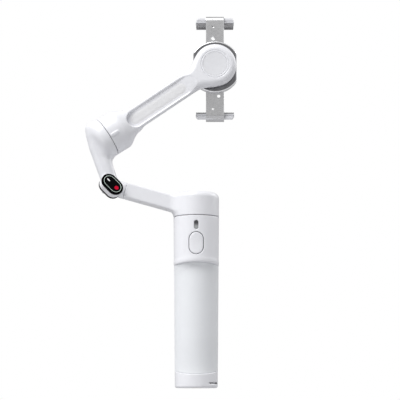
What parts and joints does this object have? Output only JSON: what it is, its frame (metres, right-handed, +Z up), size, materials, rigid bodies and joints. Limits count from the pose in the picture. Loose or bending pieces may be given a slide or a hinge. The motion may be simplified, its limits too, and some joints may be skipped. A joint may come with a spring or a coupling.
{
  "type": "phone gimbal stabilizer",
  "caption": "Hand-held stabilizer: round grip, telescoping rod, jointed arms turned by pan, tilt and roll motors, elbow-mounted tracker and a spring clamp for a phone.",
  "frame": {"origin": "centre of the handle's round bottom face, on the mouth of its tripod thread", "axes": "+Z up the handle, -Y the side with the trigger, +Y the side of the controls and of the phone; the lower arm leaves towards -X"},
  "size_m": [0.1207, 0.0391, 0.2997],
  "materials": {
    "white_shell": "satin white moulded plastic",
    "grip_soft": "soft-touch, very light grey",
    "panel_white": "matt off-white",
    "grey_plastic": "matt grey plastic",
    "dark_plastic": "black plastic",
    "light_plastic": "light grey plastic",
    "brushed_metal": "brushed light grey",
    "dark_metal": "dark grey anodised",
    "steel": "bright steel",
    "motor_steel": "plain steel",
    "copper_winding": "enamelled copper windings",
    "brass": "machined brass",
    "cell_wrap": "shrink-wrapped cells",
    "board_green": "solder mask",
    "silver_trim": "satin silver",
    "window_black": "gloss black",
    "trim_green": "pale grey-green line",
    "light_white": "lit white bar",
    "record_red": "red dot",
    "button_red": "red key",
    "pad_rubber": "grey rubber",
    "pale_rubber": "pale translucent rubber"
  },
  "bodies": {
    "handle": {"handle_shell_front": "white_shell", "handle_shell_back": "white_shell", "grip_inlay": "grip_soft", "control_panel": "panel_white", "base_cap": "panel_white", "thread_insert": "brass", "battery_cells": "cell_wrap", "main_board": "board_green", "rod_housing": "grey_plastic", "usb_port": "steel", "indicator_window": "grey_plastic", "handle_screws": "steel", "trigger_spring": "steel"},
    "trigger": {"trigger_button": "white_shell"},
    "joystick_ring": {"joystick_gimbal": "grey_plastic"},
    "joystick": {"joystick_cap": "panel_white"},
    "record_key": {"record_button": "button_red"},
    "mode_key": {"mode_button": "panel_white"},
    "rod_1": {"rod_stage_1": "steel"},
    "rod_2": {"rod_stage_2": "steel"},
    "rod_3": {"rod_stage_3": "steel", "pan_motor_base": "dark_metal", "pan_stator": "copper_winding", "pan_bearing": "steel"},
    "lower_arm": {"pan_rotor": "motor_steel", "pan_arm": "white_shell", "pan_arm_cover": "panel_white", "fold_bushing": "brass"},
    "upper_arm": {"fold_pin": "steel", "fold_arm": "white_shell", "fold_arm_cover": "panel_white", "tilt_stator": "copper_winding", "tilt_bearing": "steel", "tracker_base": "dark_plastic", "tracker_body": "silver_trim", "tracker_window": "window_black", "tracker_trim": "trim_green", "tracker_light_bar": "light_white", "tracker_record_dot": "record_red"},
    "front_arm": {"tilt_rotor": "motor_steel", "roll_arm": "white_shell", "roll_arm_inlay": "panel_white", "roll_arm_cover": "panel_white", "roll_cap": "white_shell", "roll_cap_disc": "light_plastic", "roll_stator": "copper_winding", "roll_bearing": "steel"},
    "clamp": {"roll_rotor": "motor_steel", "clamp_base": "dark_metal", "clamp_back_pad": "pad_rubber", "clamp_spring": "steel"},
    "pinion": {"clamp_pinion": "brass"},
    "upper_slide": {"upper_bracket": "brushed_metal", "upper_jaw": "light_plastic", "upper_jaw_pad": "pale_rubber"},
    "lower_slide": {"lower_bracket": "brushed_metal", "lower_jaw": "light_plastic", "lower_jaw_pad": "pale_rubber"}
  },
  "joints": [
    {"name": "rod_1_slide", "type": "slide", "parent": "handle", "child": "rod_1", "axis": [0, 0, 1], "range_m": [0, 0.072]},
    {"name": "rod_2_slide", "type": "slide", "parent": "rod_1", "child": "rod_2", "axis": [0, 0, 1], "range_m": [0, 0.072]},
    {"name": "rod_3_slide", "type": "slide", "parent": "rod_2", "child": "rod_3", "axis": [0, 0, 1], "range_m": [0, 0.072]},
    {"name": "pan_turn", "type": "hinge", "parent": "rod_3", "child": "lower_arm", "pos_m": [0, 0, 0.14], "axis": [0, 0, 1], "range_deg": [-160, 170]},
    {"name": "elbow_fold", "type": "hinge", "parent": "lower_arm", "child": "upper_arm", "pos_m": [-0.0665, 0, 0.158], "axis": [0.9627, 0, -0.2706], "range_deg": [0, 168]},
    {"name": "tilt_turn", "type": "hinge", "parent": "upper_arm", "child": "front_arm", "pos_m": [-0.0714, 0, 0.1986], "axis": [0.8252, 0.1146, 0.553], "range_deg": [-105, 235]},
    {"name": "roll_turn", "type": "hinge", "parent": "front_arm", "child": "clamp", "pos_m": [0.015, 0, 0.2565], "axis": [0, 1, 0], "range_deg": [-85, 250]},
    {"name": "upper_jaw_slide", "type": "slide", "parent": "clamp", "child": "upper_slide", "axis": [0, 0, 1], "range_m": [-0.004, 0.006]},
    {"name": "lower_jaw_slide", "type": "slide", "parent": "clamp", "child": "lower_slide", "axis": [0, 0, -1], "range_m": [-0.004, 0.006]},
    {"name": "pinion_turn", "type": "hinge", "parent": "clamp", "child": "pinion", "pos_m": [0.015, 0.0042, 0.2565], "axis": [0, 1, 0], "range_deg": [-78, 116]},
    {"name": "trigger_press", "type": "slide", "parent": "handle", "child": "trigger", "axis": [0, 1, 0], "range_m": [0, 0.0014], "stiffness_N_per_m": 600, "deforming": ["trigger_spring"]},
    {"name": "joystick_tip", "type": "hinge", "parent": "handle", "child": "joystick_ring", "pos_m": [0, 0.0134, 0.104], "axis": [1, 0, 0], "range_deg": [-11, 11], "stiffness_Nm_per_rad": 0.02},
    {"name": "joystick_lean", "type": "hinge", "parent": "joystick_ring", "child": "joystick", "pos_m": [0, 0.0134, 0.104], "axis": [0, 0, 1], "range_deg": [-11, 11], "stiffness_Nm_per_rad": 0.02},
    {"name": "record_press", "type": "slide", "parent": "handle", "child": "record_key", "axis": [0, -1, 0], "range_m": [0, 0.0004], "stiffness_N_per_m": 600},
    {"name": "mode_press", "type": "slide", "parent": "handle", "child": "mode_key", "axis": [0, -1, 0], "range_m": [0, 0.0004], "stiffness_N_per_m": 600}
  ],
  "couplings": [
    {"joint": "lower_jaw_slide", "follows": "upper_jaw_slide", "ratio": 1},
    {"joint": "pinion_turn", "follows": "upper_jaw_slide", "rad_per_m": 333.33}
  ]
}
